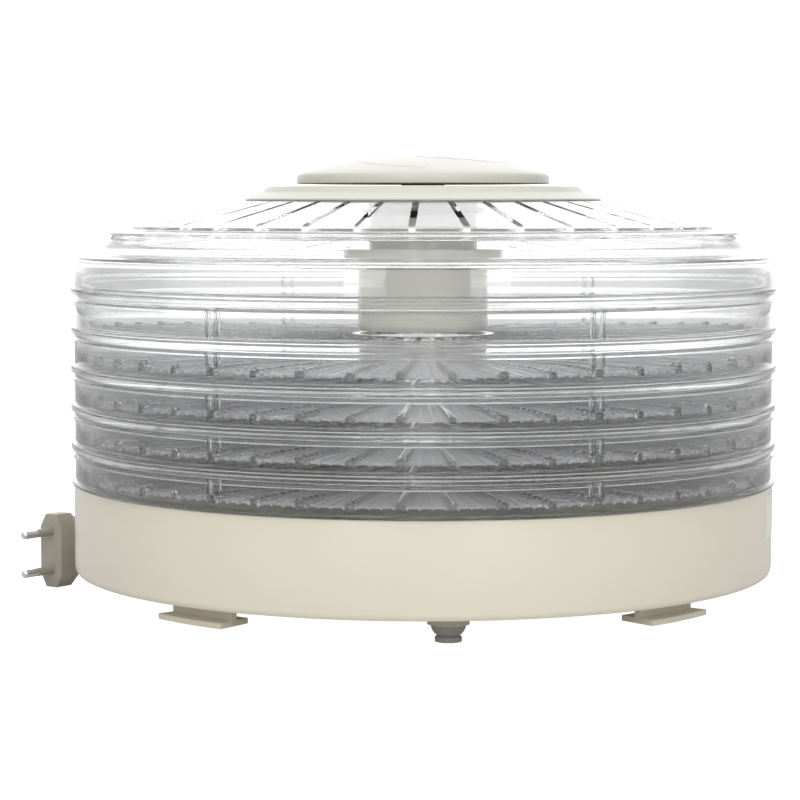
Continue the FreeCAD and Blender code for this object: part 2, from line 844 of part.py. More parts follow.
def wiring():
    """Terminal block, cord clamp, the cord's inner end and the motor's leads."""
    wells = [(f"well_pitch * {i}", "(block_front + block_back) / 2") for i in (-1, 0, 1)]
    block = box("block_bulk", "-block_half", "block_front", "cover_high", "block_half", "block_back", "block_high")
    well_tools = [rod(f"well_{i}", "well_radius", x, y, "well_floor", "block_high")
                  for i, (x, y) in enumerate(wells)]
    keep(without("terminal_block", block, joined("wells", well_tools)), "terminal_block")
    tops = [rod(f"terminal_screw_{i}", "well_radius", x, y, "well_floor", "terminal_screw_top")
            for i, (x, y) in enumerate(wells)]
    keep(grouped("terminal_screws", tops), "terminal_screws")
    keep(rod_along_y("cord_tail", "cord_radius", "0", "block_back", "relief_inside", "exit_height"), "cord_tail")
    bar = box("clamp_bar", "-clamp_half", "clamp_front", "clamp_low",
              "clamp_half", "clamp_front + clamp_width", "clamp_high")
    groove = rod_along_y("clamp_groove", "cord_radius", "0", "clamp_front", "clamp_front + clamp_width",
                         "exit_height")
    below = box("clamp_gap", "-cord_radius", "clamp_front", "clamp_low",
                "cord_radius", "clamp_front + clamp_width", "exit_height")
    holes = [rod(f"clamp_hole_{i}", "clamp_screw_radius", x, y, "clamp_low", "clamp_high")
             for i, (x, y) in enumerate(CLAMP_SCREWS)]
    keep(without("cord_clamp", bar, joined("clamp_tools", [groove, below, *holes])), "cord_clamp")
    screws("clamp_screws", CLAMP_SCREWS, "clamp_screw_radius", "cover_high", "clamp_high", "2.6", "clamp_high")
    leads = [rod_along_y(f"motor_lead_{i}", "lead_radius", x, "coil_back", "block_front", "lead_height")
             for i, x in enumerate(("-lead_place", "lead_place"))]
    keep(grouped("motor_leads", leads), "motor_leads")


def fasteners():
    screws("cover_screws", COVER_SCREWS, "cover_screw_radius", "cover_low", "deck_top - deck_thick - 4",
           "3.2", "cover_low - screw_head_height")
    screws("duct_screws", DUCT_SCREWS, "duct_screw_radius", "deck_top - deck_thick - duct_thick",
           "duct_screw_top", "2.4", "deck_top - deck_thick - duct_thick - screw_head_height")


# ---- Stacking tiers ----

def tier(name, level, has_floor):
    """One clear tier: a walled ring, with a ribbed and ringed floor if it is a tray."""
    body = new_body(name)
    wall = new_sketch(body, f"{name}_wall", "XZ_Plane")
    outline(wall, [
        ("skirt_inner", "-skirt_drop"),
        ("skirt_outer", "-skirt_drop"),
        ("skirt_outer", "0"),
        ("rim_radius", "0"),
        ("rim_radius", "rim_height"),
        ("wall_outer", "rim_height"),
        ("wall_outer", "ridge_low"),
        ("ridge_radius", "ridge_low"),
        ("ridge_radius", "ridge_high"),
        ("wall_outer", "ridge_high"),
        ("wall_outer", "tier_pitch - rim_height"),
        ("rim_radius", "tier_pitch - rim_height"),
        ("rim_radius", "tier_pitch"),
        ("wall_inner", "tier_pitch"),
        ("wall_inner", "rim_height"),
        ("skirt_inner", "rim_height"),
    ])
    if has_floor:
        rectangle(wall, "hub_inner", "floor_low", "hub_outer", "rib_top")
        for i in range(5):
            inner = f"ring_first + ring_pitch * {i}"
            rectangle(wall, inner, "floor_low", f"{inner} + ring_width", "floor_high")
    revolve(body, wall, f"{name}_turned")
    if has_floor:
        long_rib = new_sketch(body, f"{name}_rib_sketch", height="floor_low")
        middle = "(wall_inner + wall_outer) / 2"
        rectangle(long_rib, "(hub_inner + hub_outer) / 2", "-rib_width / 2", middle, "rib_width / 2")
        raised = pad(body, long_rib, "rib_top - floor_low", f"{name}_rib")
        repeat_round(body, raised, "rib_count", f"{name}_ribs")
        short_rib = new_sketch(body, f"{name}_short_sketch", height="floor_low",
                               turn=Rotation(Vector(0, 0, 1), 180 / value("rib_count")))
        rectangle(short_rib, "short_rib_start", "-short_rib_width / 2", middle, "short_rib_width / 2")
        raised = pad(body, short_rib, "rib_top - floor_low - 0.6", f"{name}_short_rib")
        repeat_round(body, raised, "rib_count", f"{name}_short_ribs")
    post = new_sketch(body, f"{name}_post_sketch", height="floor_low")
    rectangle(post, "post_inner", "-post_width / 2", "(wall_inner + wall_outer) / 2", "post_width / 2")
    raised = pad(body, post, "post_top - floor_low", f"{name}_post")
    repeat_round(body, raised, "post_count", f"{name}_posts")
    set_place(body, ("0", "0", f"base_top + tier_pitch * {level}"),
              Rotation(Vector(0, 0, 1), value("tier_angle")))
    return keep(body, name)


# ---- Lid and vent ----

def lid():
    """Clear lid: stepped rim, shallow cone with radial slots and a central hole."""
    body = new_body("lid")
    profile = new_sketch(body, "lid_profile", "XZ_Plane")
    outline(profile, [
        ("skirt_outer", "lid_foot - skirt_drop"),
        ("skirt_outer", "lid_foot"),
        ("rim_radius", "lid_foot"),
        ("rim_radius", "lid_foot + rim_height"),
        ("lid_wall_low", "lid_foot + rim_height"),
        ("lid_wall_high", "lid_shoulder - 1"),
        ("lid_wall_high - 1.4", "lid_shoulder"),
        ("lid_cone_low", "lid_shoulder + 0.5"),
        ("lid_cone_high", "lid_cone_top"),
        ("lid_disc_radius", "lid_disc_low"),
        ("lid_disc_radius", "lid_disc_high"),
        ("lid_step_radius + 0.6", "lid_step_low"),
        ("lid_step_radius", "lid_step_high"),
        ("lid_crown_radius", "lid_crown"),
        ("lid_hole", "lid_crown"),
        ("lid_hole", "lid_crown - lid_thick"),
        ("lid_crown_radius", "lid_crown - lid_thick"),
        ("lid_step_radius - 1.2", "lid_step_high - lid_thick"),
        ("lid_step_radius - 1", "lid_step_low - lid_thick"),
        ("lid_cone_high - 2.2", "lid_cone_top - 1.2"),
        ("lid_cone_low - 1.2", "lid_shoulder - 1.4"),
        ("lid_wall_high - 3", "lid_shoulder - 1.9"),
        ("lid_wall_high - lid_wall_thick", "lid_shoulder - 3"),
        ("lid_wall_low - lid_wall_thick", "lid_foot + rim_height"),
        ("skirt_inner", "lid_foot + rim_height"),
        ("skirt_inner", "lid_foot - skirt_drop"),
    ])
    revolve(body, profile, "lid_turned")
    slot = new_sketch(body, "slot_sketch", height="lid_crown")
    half = "slot_width / 2"
    outline(slot, [
        ("slot_inner", f"-{half}"),
        ("slot_outer", f"-{half}"),
        ("slot_outer", half),
        ("slot_inner", half),
    ], {1: (f"slot_outer + {half}", "0"), 3: (f"slot_inner - {half}", "0")})
    cut = pocket(body, slot, "lid_crown - lid_cone_top + lid_thick", "slot")
    repeat_round(body, cut, "slot_count", "slots")
    body.Placement = Placement(Vector(), Rotation(Vector(0, 0, 1), value("slot_angle")))
    return keep(body, "lid")


def cut_windows(body, name, top, depth):
    """Six sector windows round the vent's axis."""
    sketch = new_sketch(body, f"{name}_sketch", height=top)
    side = "window_span / 2"
    outline(sketch, [
        (f"window_inner * cos({side})", f"-window_inner * sin({side})"),
        (f"window_outer * cos({side})", f"-window_outer * sin({side})"),
        (f"window_outer * cos({side})", f"window_outer * sin({side})"),
        (f"window_inner * cos({side})", f"window_inner * sin({side})"),
    ], {1: ("window_outer", "0"), 3: ("window_inner", "0")})
    cut = pocket(body, sketch, depth, name)
    repeat_round(body, cut, "window_count", f"{name}_all")


def vent():
    """White vent: fixed collar, and a knob, shutter and cup that turn together."""
    web_low = "collar_top - collar_thick"
    collar = turned_piece("vent_collar", [
        ("collar_radius", "lid_crown"),
        ("collar_radius", "lid_crown + collar_lip"),
        ("collar_knee", "collar_knee_height"),
        ("collar_edge", "collar_top"),
        ("hub_bore", "collar_top"),
        ("hub_bore", "hub_low"),
        ("hub_radius", "hub_low"),
        ("hub_radius", web_low),
        ("spigot_inner", web_low),
        ("spigot_inner", "spigot_low"),
        ("spigot_outer", "spigot_low"),
        ("spigot_outer", "lid_crown"),
    ])
    cut_windows(collar, "collar_window", "collar_top", "collar_thick")
    turned_piece("vent_knob", [
        ("0", "knob_top"),
        ("knob_flat", "knob_top"),
        ("knob_shoulder", "knob_shoulder_height"),
        ("knob_radius", "knob_side_top"),
        ("knob_radius", "knob_low"),
        ("knob_radius - knob_thick", "knob_low"),
        ("knob_radius - knob_thick", "knob_side_top - knob_thick / 2"),
        ("knob_shoulder - knob_thick", "knob_shoulder_height - knob_thick"),
        ("knob_boss", "knob_top - knob_thick - 0.4"),
        ("knob_boss", "collar_top"),
        ("stem_radius", "collar_top"),
        ("stem_radius", "stem_low"),
        ("vent_screw_radius", "stem_low"),
        ("vent_screw_radius", "stem_bore_top"),
        ("0", "stem_bore_top"),
    ], {
        1: ("knob_mid", "knob_mid_height"),
        7: ("knob_mid", "knob_mid_height - knob_thick"),
    })
    shutter = turned_piece("vent_shutter", [
        ("vent_screw_radius", "stem_low - shutter_thick"),
        ("shutter_radius", "stem_low - shutter_thick"),
        ("shutter_radius", "stem_low"),
        ("vent_screw_radius", "stem_low"),
    ])
    cut_windows(shutter, "shutter_window", "stem_low", "shutter_thick")
    plate_top = "stem_low - shutter_thick"
    turned_piece("vent_cup", [
        ("vent_screw_radius", plate_top),
        ("neck_outer", plate_top),
        ("neck_outer", "cup_flange_high"),
        ("cup_flange", "cup_flange_high"),
        ("cup_flange", "cup_flange_low"),
        ("cup_radius", "cup_flange_low"),
        ("cup_radius", "cup_taper"),
        ("cup_mouth", "cup_low"),
        ("cup_mouth - cup_thick", "cup_low"),
        ("cup_radius - cup_thick", "cup_taper"),
        ("cup_radius - cup_thick", "cup_flange_low + cup_thick"),
        ("cup_flange - cup_thick", "cup_flange_low + cup_thick"),
        ("cup_flange - cup_thick", "cup_flange_high - cup_thick"),
        ("neck_inner", "cup_flange_high - cup_thick"),
        ("neck_inner", f"{plate_top} - neck_plate"),
        ("vent_screw_radius", f"{plate_top} - neck_plate"),
    ])
    head_top = f"{plate_top} - neck_plate"
    turned_piece("vent_screw", [
        ("0", f"{head_top} - vent_screw_head_height"),
        ("vent_screw_head", f"{head_top} - vent_screw_head_height"),
        ("vent_screw_head", head_top),
        ("vent_screw_radius", head_top),
        ("vent_screw_radius", "stem_bore_top"),
        ("0", "stem_bore_top"),
    ])
    turned_piece("vent_seal", [
        ("neck_outer", "seal_low"),
        ("seal_outer", "seal_low"),
        ("seal_outer", "seal_high"),
        ("neck_outer", "seal_high"),
    ])


# ---- Mains cord and plug ----

# Route of the free cord from the strain relief down to the floor and into
# the coil, and from the coil round to the plug's tail.
CORD_RUN = [
    (0, 192, 30), (0, 207, 29.3), (-1, 224, 22.8), (-4.5, 241, 13), (-12, 256.5, 5.6),
    (-25, 267.5, 3.1), (-42, 273, 3), (-61, 274.3, 3), (-82.5, 273.3, 3),
]
CORD_LEAD = [
    (-138, 218.5, 3), (-138.3, 202, 3), (-140.5, 184, 3), (-145, 166, 3), (-148.5, 148, 3),
    (-149, 130, 3.6), (-146.5, 113, 8), (-147, 97, 13.5), (-151.3, 82, 17), (-157.94, 69.22, 17.65),
]


def cord_tube(name, route):
    """Round tube along straight runs joined by arcs as large as the runs allow."""
    points = [Vector(*point) for point in route]
    edges = []
    radii = []
    start = points[0]
    for before, corner, after in zip(points, points[1:], points[2:]):
        back = (before - corner).normalize()
        ahead = (after - corner).normalize()
        turn = math.pi - back.getAngle(ahead)
        cut = 0.45 * min(before.distanceToPoint(corner), after.distanceToPoint(corner))
        radii.append(cut / math.tan(turn / 2))
        enter = corner + back * cut
        leave = corner + ahead * cut
        inward = (back + ahead).normalize()
        middle = corner + inward * (radii[-1] / math.cos(turn / 2) - radii[-1])
        edges.append(Part.LineSegment(start, enter).toShape())
        edges.append(Part.Arc(enter, middle, leave).toShape())
        start = leave
    edges.append(Part.LineSegment(start, points[-1]).toShape())
    path = Part.Wire(edges)
    ring = Part.Circle(points[0], points[1] - points[0], value("cord_radius"))
    tube = path.makePipeShell([Part.Wire(ring.toShape())], True, True)
    section = math.pi * value("cord_radius") ** 2
    print(f"{name}: length {path.Length:.1f}, volume ratio {tube.Volume / (section * path.Length):.4f},"
          f" arc radii {[round(radius) for radius in radii]}")
    item = doc.addObject("Part::Feature", name)
    item.Shape = tube
    keep(item, name)
    return path.Length


def cord_coil():
    """Outer shape of the wound cord: a flat ring, two layers high."""
    piece = turned_piece("cord_coil", [
        ("coil_mean - coil_solid_half", "0"),
        ("coil_mean + coil_solid_half", "0"),
        ("coil_mean + coil_solid_half", "coil_layers * cord_radius * 2"),
        ("coil_mean - coil_solid_half", "coil_layers * cord_radius * 2"),
    ])
    set_place(piece, ("coil_x", "coil_y", "0"))
    return value("2 * pi * coil_mean * coil_turns")


def strain_relief():
    """Tapered boot that the cord leaves the base through, turned about its own axis."""
    body = new_body("strain_relief")
    profile = new_sketch(body, "relief_profile", "XZ_Plane")
    outline(profile, [
        ("0", "relief_inside"),
        ("relief_flange", "relief_inside"),
        ("relief_flange", "relief_wall_inner"),
        ("relief_neck", "relief_wall_inner"),
        ("relief_neck", "relief_wall_outer"),
        ("relief_collar", "relief_wall_outer"),
        ("relief_collar", "relief_collar_end"),
        ("relief_root", "relief_collar_end + 1"),
        ("relief_tip", "relief_end"),
        ("0", "relief_end"),
    ])
    revolve(body, profile, "relief_turned")
    set_place(body, ("0", "0", "exit_height"), Rotation(Vector(1, 0, 0), -90))
    keep(body, "strain_relief")


def plug_face(body, name, reach, tall, wide, end_half, side_half):
    """Eight-sided section of the plug at a distance behind its face."""
    sketch = new_sketch(body, name, "YZ_Plane", f"-({reach})")
    corners = []
    for across, up in ((1, -1), (1, 1), (-1, 1), (-1, -1)):
        side = (f"{across} * {wide}", f"{up} * {side_half}")
        end = (f"{across} * {end_half}", f"{up} * {tall}")
        corners += [end, side] if across * up < 0 else [side, end]
    outline(sketch, corners)
    return sketch


def plug():
    """Flat two-pin plug that stands on its narrow edge."""
    place = ("plug_x", "plug_y", "plug_half_tall")
    turn = Rotation(Vector(0, 0, 1), value("plug_angle"))
    body = new_body("plug_body")
    sizes = ("plug_half_tall", "plug_half_wide", "plug_end_half", "plug_side_half")
    neck = ("plug_neck_tall", "plug_neck_wide", "plug_neck_end", "plug_neck_side")
    back = plug_face(body, "plug_back", "plug_depth", *sizes)
    pad(body, back, "plug_depth", "plug_block")
    taper = body.newObject("PartDesign::AdditiveLoft", "plug_taper_loft")
    taper.Profile = plug_face(body, "plug_taper_start", "plug_depth", *sizes)
    taper.Sections = [plug_face(body, "plug_taper_end", "plug_taper", *neck)]
    tail = body.newObject("PartDesign::AdditiveLoft", "plug_tail_loft")
    rings = []
    for name, reach, radius in (("tail_start", "plug_taper", "tail_root"), ("tail_end", "plug_tail", "tail_tip")):
        sketch = new_sketch(body, name, "YZ_Plane", f"-{reach}")
        circle(sketch, "0", "0", radius)
        rings.append(sketch)
    tail.Profile = rings[0]
    tail.Sections = rings[1:]
    set_place(body, place, turn)
    keep(body, "plug_body")
    pins = []
    sleeves = []
    for side, height in (("low", "-pin_place"), ("high", "pin_place")):
        pin = new_body(f"pin_{side}")
        shape = new_sketch(pin, f"pin_{side}_profile")
        outline(shape, [("0", "0"), ("pin_length", "0"), ("pin_length", "pin_radius * 0.6"),
                        ("pin_length - pin_radius / 2", "pin_radius"), ("pin_sleeve_end", "pin_radius"),
                        ("pin_sleeve_end", "pin_core"), ("0", "pin_core")])
        pins.append(along_x(pin, shape, f"pin_{side}_turned", place, height, turn))
        sleeve = new_body(f"sleeve_{side}")
        shape = new_sketch(sleeve, f"sleeve_{side}_profile")
        rectangle(shape, "0", "pin_core", "pin_sleeve_end", "pin_sleeve")
        sleeves.append(along_x(sleeve, shape, f"sleeve_{side}_turned", place, height, turn))
    keep(grouped("plug_pins", pins), "plug_pins")
    keep(grouped("plug_pin_sleeves", sleeves), "plug_pin_sleeves")


def along_x(body, sketch, name, place, height, turn):
    """Turn a profile about the plug's own X axis and put it beside its twin."""
    turned = body.newObject("PartDesign::Revolution", name)
    turned.Profile = sketch
    turned.ReferenceAxis = (sketch, ["H_Axis"])
    set_place(body, (place[0], place[1], f"{place[2]} + {height}"), turn)
    return body


def free_cord():
    strain_relief()
    run = cord_tube("cord_run", CORD_RUN)
    coil = cord_coil()
    lead = cord_tube("cord_lead", CORD_LEAD)
    print(f"free cord: {run:.0f} + {coil:.0f} + {lead:.0f} = {run + coil + lead:.0f} mm")
    plug()


# ---- Whole object ----

def check_document():
    """Stop if any feature failed or any piece is empty or invalid."""
    doc.recompute()
    for item in doc.Objects:
        if "Invalid" in item.State or "Error" in item.State:
            raise RuntimeError(f"{item.Name} failed: {item.State}")
    for piece in pieces:
        if piece.Shape.isNull() or not piece.Shape.isValid() or not piece.Shape.Solids:
            raise RuntimeError(f"{piece.Label} has no valid solid")


def write_pieces():
    os.makedirs("parts", exist_ok=True)
    for piece in pieces:
        piece.Shape.exportStep(os.path.join("parts", f"{piece.Label}.step"))
        print(f"{piece.Label}: {len(piece.Shape.Solids)} solid(s), {piece.Shape.Volume / 1000:.2f} cm3")


base_housing()
bottom_cover()
for index, place in enumerate(FOOT_PLACES, start=1):
    foot(index, place)
outlet_grille()
motor()
impeller()
duct()
heater()
safety_parts()
wiring()
fasteners()
for level in range(TRAY_COUNT):
    tier(f"tray_{level + 1}", level, has_floor=True)
tier("spacer_ring", TRAY_COUNT, has_floor=False)
lid()
vent()
free_cord()
check_document()
write_pieces()
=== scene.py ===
"""Food dehydrator: looks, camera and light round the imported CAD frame, +Z up.

Shapes are drawn in millimetres and built in metres.
"""
import json
import math

import bpy
from mathutils import Matrix, Vector


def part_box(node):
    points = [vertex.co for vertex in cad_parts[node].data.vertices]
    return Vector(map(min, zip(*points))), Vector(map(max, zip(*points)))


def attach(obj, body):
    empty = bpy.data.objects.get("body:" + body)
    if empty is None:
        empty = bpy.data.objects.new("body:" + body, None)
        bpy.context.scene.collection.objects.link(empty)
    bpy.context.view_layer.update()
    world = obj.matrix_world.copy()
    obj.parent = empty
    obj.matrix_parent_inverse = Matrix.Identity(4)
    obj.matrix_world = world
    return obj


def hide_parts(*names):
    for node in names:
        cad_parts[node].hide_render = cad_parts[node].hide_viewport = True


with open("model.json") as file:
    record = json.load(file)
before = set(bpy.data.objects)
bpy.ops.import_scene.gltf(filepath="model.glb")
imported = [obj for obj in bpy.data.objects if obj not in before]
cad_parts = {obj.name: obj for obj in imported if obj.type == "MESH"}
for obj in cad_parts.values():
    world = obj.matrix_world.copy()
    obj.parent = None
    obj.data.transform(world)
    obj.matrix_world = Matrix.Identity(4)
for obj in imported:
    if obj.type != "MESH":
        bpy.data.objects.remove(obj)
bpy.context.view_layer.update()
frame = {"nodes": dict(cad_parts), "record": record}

MM = 0.001
STEPS = 224                      # segments round a full turn
TIERS = ["tray_1", "tray_2", "tray_3", "tray_4", "spacer_ring"]
TIER_TURN = math.radians(-3.2)   # the tiers' ribs and posts start at this angle
RIBS = 24
POSTS = 6
SLOTS = 36
SLOT_TURN = math.radians(8)

# A tier's section in millimetres: radii, heights above the joint it stands on, the skirt's drop
# below that joint, the gap left there, and the spacing of the mesh's rings.
SKIRT_IN, SKIRT_OUT, SKIRT_DROP = 155.4, 157.0, 4.0
WALL_IN, WALL_OUT = 157.6, 159.4
RIM, RIM_HIGH = 161.2, 1.5
RIDGE, RIDGE_LOW, RIDGE_HIGH = 160.6, 12.0, 13.0
JOINT_GAP = 0.05
POST_IN, POST_OUT, POST_TOP = 154.6, 157.55, 13.2
HUB_IN, HUB_OUT = 29, 33
RIB_LOW, RIB_TOP, RIB_END = 3.6, 7.2, 157.5
MESH_LOW, MESH_TOP, MESH_PITCH = 3.9, 5.1, 6.0

LID_THICK = 2                    # millimetres

# Edges between faces that turn by more than these are shaded sharp, or get a bevel.
SMOOTH_ANGLE, BEVEL_ANGLE = math.radians(32), math.radians(35)


# ---- Places read from the frame ----

def top_of(node):
    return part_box(node)[1].z / MM


def low_of(node):
    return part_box(node)[0].z / MM


def radius_of(node):
    low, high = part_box(node)
    return (high.x - low.x) / 2 / MM


# ---- Mesh helpers (millimetres in, metres out) ----

def new_object(name, data):
    obj = bpy.data.objects.new(name, data)
    bpy.context.scene.collection.objects.link(obj)
    return obj


def rounded(corners, radius=0.3, cuts=3):
    """Replace each corner of a closed outline with a small arc."""
    points = []
    count = len(corners)
    for i, corner in enumerate(corners):
        here = Vector(corner)
        back = Vector(corners[i - 1]) - here
        ahead = Vector(corners[(i + 1) % count]) - here
        reach = min(radius, 0.45 * back.length, 0.45 * ahead.length)
        start = here + back.normalized() * reach
        end = here + ahead.normalized() * reach
        for step in range(cuts + 1):
            t = step / cuts
            points.append(tuple(start * (1 - t) ** 2 + here * 2 * t * (1 - t) + end * t ** 2))
    return points


class Shape:
    """Vertices and faces gathered into one mesh."""

    def __init__(self):
        self.points = []
        self.faces = []

    def lathe(self, outline, steps=STEPS, height=0.0):
        """Turn a closed outline of (radius, height) about the Z axis."""
        first = len(self.points)
        count = len(outline)
        for step in range(steps):
            angle = 2 * math.pi * step / steps
            for radius, z in outline:
                self.points.append((radius * math.cos(angle), radius * math.sin(angle), z + height))
        for step in range(steps):
            here = first + step * count
            there = first + (step + 1) % steps * count
            for i in range(count):
                j = (i + 1) % count
                self.faces.append((here + i, there + i, there + j, here + j))

    def solid(self, rings):
        """Join equal rings of points into one closed tube with end caps."""
        first = len(self.points)
        count = len(rings[0])
        for ring in rings:
            self.points.extend(ring)
        for level in range(len(rings) - 1):
            here = first + level * count
            for i in range(count):
                j = (i + 1) % count
                self.faces.append((here + i, here + j, here + count + j, here + count + i))
        self.faces.append(tuple(reversed(range(first, first + count))))
        last = first + (len(rings) - 1) * count
        self.faces.append(tuple(range(last, last + count)))

    def bar(self, angle, inner, outer, width, low, high, crown=0.0):
        """A bar along a radius, with a top that can be rounded by crown."""
        half = width / 2
        section = [(-half, low), (half, low), (half, high - crown)]
        if crown:
            section += [(half * 0.5, high - crown * 0.2), (0, high), (-half * 0.5, high - crown * 0.2)]
        section.append((-half, high - crown))
        turn = Matrix.Rotation(angle, 3, "Z")
        rings = []
        for reach in (inner, outer):
            rings.append([tuple(turn @ Vector((reach, across, up))) for across, up in section])
        self.solid(rings)

    def build(self, name, smooth=True, sharp=40):
        mesh = bpy.data.meshes.new(name)
        mesh.from_pydata([(x * MM, y * MM, z * MM) for x, y, z in self.points], [], self.faces)
        mesh.validate()
        mesh.update()
        if smooth:
            mesh.shade_smooth()
            mesh.set_sharp_from_angle(angle=math.radians(sharp))
        return new_object(name, mesh)


# ---- Materials ----

def material(name):
    made = bpy.data.materials.new(name)
    made.use_nodes = True
    return made, made.node_tree.nodes, made.node_tree.links, made.node_tree.nodes["Principled BSDF"]


def add_noise(nodes, links, scale, detail=3.0, stretch=None):
    """A noise texture in the object's own metres."""
    place = nodes.new("ShaderNodeTexCoord")
    noise = nodes.new("ShaderNodeTexNoise")
    noise.inputs["Scale"].default_value = scale
    noise.inputs["Detail"].default_value = detail
    if stretch:
        mapping = nodes.new("ShaderNodeMapping")
        mapping.inputs["Scale"].default_value = stretch
        links.new(place.outputs["Object"], mapping.inputs["Vector"])
        links.new(mapping.outputs["Vector"], noise.inputs["Vector"])
    else:
        links.new(place.outputs["Object"], noise.inputs["Vector"])
    return noise


def vary_color(nodes, links, shader, noise, color, spread):
    ramp = nodes.new("ShaderNodeValToRGB")
    low, high = ramp.color_ramp.elements
    low.position, high.position = 0.3, 0.7
    low.color = (*(c * (1 - spread) for c in color), 1)
    high.color = (*(min(1, c * (1 + spread)) for c in color), 1)
    links.new(noise.outputs["Fac"], ramp.inputs["Fac"])
    links.new(ramp.outputs["Color"], shader.inputs["Base Color"])


def vary_roughness(nodes, links, shader, noise, low, high):
    span = nodes.new("ShaderNodeMapRange")
    span.inputs["To Min"].default_value = low
    span.inputs["To Max"].default_value = high
    links.new(noise.outputs["Fac"], span.inputs["Value"])
    links.new(span.outputs["Result"], shader.inputs["Roughness"])


def add_bump(nodes, links, shader, noise, strength, distance):
    bump = nodes.new("ShaderNodeBump")
    bump.inputs["Strength"].default_value = strength
    bump.inputs["Distance"].default_value = distance
    links.new(noise.outputs["Fac"], bump.inputs["Height"])
    links.new(bump.outputs["Normal"], shader.inputs["Normal"])


def solid_plastic(name, color, rough=(0.28, 0.4), spread=0.02, grain=900, bump=0.05, coat=0.0):
    """Moulded plastic: faint flow marks, fine grain, uneven gloss."""
    made, nodes, links, shader = material(name)
    flow = add_noise(nodes, links, 9, 2)
    vary_color(nodes, links, shader, flow, color, spread)
    vary_roughness(nodes, links, shader, flow, *rough)
    add_bump(nodes, links, shader, add_noise(nodes, links, grain), bump, 0.0002)
    shader.inputs["Coat Weight"].default_value = coat
    shader.inputs["Coat Roughness"].default_value = 0.12
    return made


def clear_plastic(name, color):
    """Clear moulded plastic with gentle waves from the mould; a little light goes straight through it."""
    made, nodes, links, shader = material(name)
    shader.inputs["Base Color"].default_value = (*color, 1)
    shader.inputs["Transmission Weight"].default_value = 1.0
    shader.inputs["IOR"].default_value = 1.32
    shader.inputs["Alpha"].default_value = 0.94
    waves = add_noise(nodes, links, 60, 2, stretch=(1, 1, 0.35))
    vary_roughness(nodes, links, shader, waves, 0.02, 0.06)
    add_bump(nodes, links, shader, waves, 0.12, 0.0004)
    return made


def frosted_plastic(name, color):
    """Thin clear mouldings that scatter light, such as the mesh of a tray floor."""
    made, nodes, links, shader = material(name)
    flow = add_noise(nodes, links, 40, 2)
    vary_color(nodes, links, shader, flow, color, 0.05)
    vary_roughness(nodes, links, shader, flow, 0.12, 0.22)
    add_bump(nodes, links, shader, flow, 0.15, 0.0004)
    shader.inputs["Transmission Weight"].default_value = 0.25
    shader.inputs["Alpha"].default_value = 0.45
    return made


def metal(name, color, rough=(0.25, 0.4), scale=300, stretch=(1, 1, 12)):
    made, nodes, links, shader = material(name)
    grain = add_noise(nodes, links, scale, 4, stretch=stretch)
    vary_color(nodes, links, shader, grain, color, 0.08)
    vary_roughness(nodes, links, shader, grain, *rough)
    shader.inputs["Metallic"].default_value = 1.0
    return made


def winding_material(name):
    """Copper wire laid in rows round the bobbin."""
    made, nodes, links, shader = material(name)
    place = nodes.new("ShaderNodeTexCoord")
    wave = nodes.new("ShaderNodeTexWave")
    wave.bands_direction = "X"
    wave.inputs["Scale"].default_value = 600
    wave.inputs["Distortion"].default_value = 0.6
    links.new(place.outputs["Object"], wave.inputs["Vector"])
    vary_color(nodes, links, shader, wave, (0.45, 0.16, 0.05), 0.35)
    add_bump(nodes, links, shader, wave, 0.6, 0.0004)
    shader.inputs["Metallic"].default_value = 0.8
    shader.inputs["Roughness"].default_value = 0.35
    return made


FROST = frosted_plastic("frosted_plastic", (0.92, 0.92, 0.94))

CREAM = (0.69, 0.645, 0.53)
WHITE = (0.56, 0.56, 0.495)
CLEAR = (0.975, 0.98, 0.98)

finish_of = {
    "base_plastic": solid_plastic("cream_plastic", CREAM, rough=(0.26, 0.36), coat=0.25),
    "cover_plastic": solid_plastic("cover_plastic", (0.74, 0.69, 0.58), rough=(0.45, 0.6), bump=0.2),
    "clear_plastic": clear_plastic("clear_plastic", CLEAR),
    "white_plastic": solid_plastic("ivory_plastic", WHITE, rough=(0.38, 0.48), coat=0.08),
    "foot_rubber": solid_plastic("foot_rubber", (0.50, 0.49, 0.45), rough=(0.5, 0.7), bump=0.3),
    "dark_rubber": solid_plastic("dark_rubber", (0.02, 0.02, 0.02), rough=(0.6, 0.8), bump=0.3),
    "steel": metal("zinc_steel", (0.60, 0.60, 0.60)),
    "lamination": metal("laminations", (0.22, 0.22, 0.23), rough=(0.4, 0.6), scale=120, stretch=(1, 1, 20)),
    "winding": winding_material("copper_winding"),
    "brass": metal("brass", (0.75, 0.55, 0.25)),
    "aluminium": metal("rolled_aluminium", (0.80, 0.80, 0.81), rough=(0.2, 0.35), stretch=(1, 1, 30)),
    "fan_plastic": solid_plastic("fan_plastic", (0.03, 0.03, 0.032), rough=(0.4, 0.55)),
    "mica": solid_plastic("mica", (0.42, 0.31, 0.18), rough=(0.5, 0.7), spread=0.3, grain=300, bump=0.3),
    "heater_wire": metal("oxidised_wire", (0.25, 0.22, 0.20), rough=(0.45, 0.6)),
    "terminal_plastic": solid_plastic("terminal_plastic", (0.75, 0.74, 0.68), rough=(0.4, 0.5)),
    "cord_plastic": solid_plastic("cord_sheath", (0.36, 0.335, 0.275), rough=(0.42, 0.55), bump=0.2),
    "plug_plastic": solid_plastic("plug_plastic", (0.36, 0.335, 0.275), rough=(0.38, 0.5), bump=0.15),
    "lead_plastic": solid_plastic("lead_insulation", (0.5, 0.03, 0.02), rough=(0.4, 0.5)),
    "pin_metal": metal("plated_pin", (0.75, 0.74, 0.72), rough=(0.15, 0.25)),
    "sleeve_plastic": solid_plastic("pin_sleeve", (0.36, 0.34, 0.30), rough=(0.45, 0.6)),
}


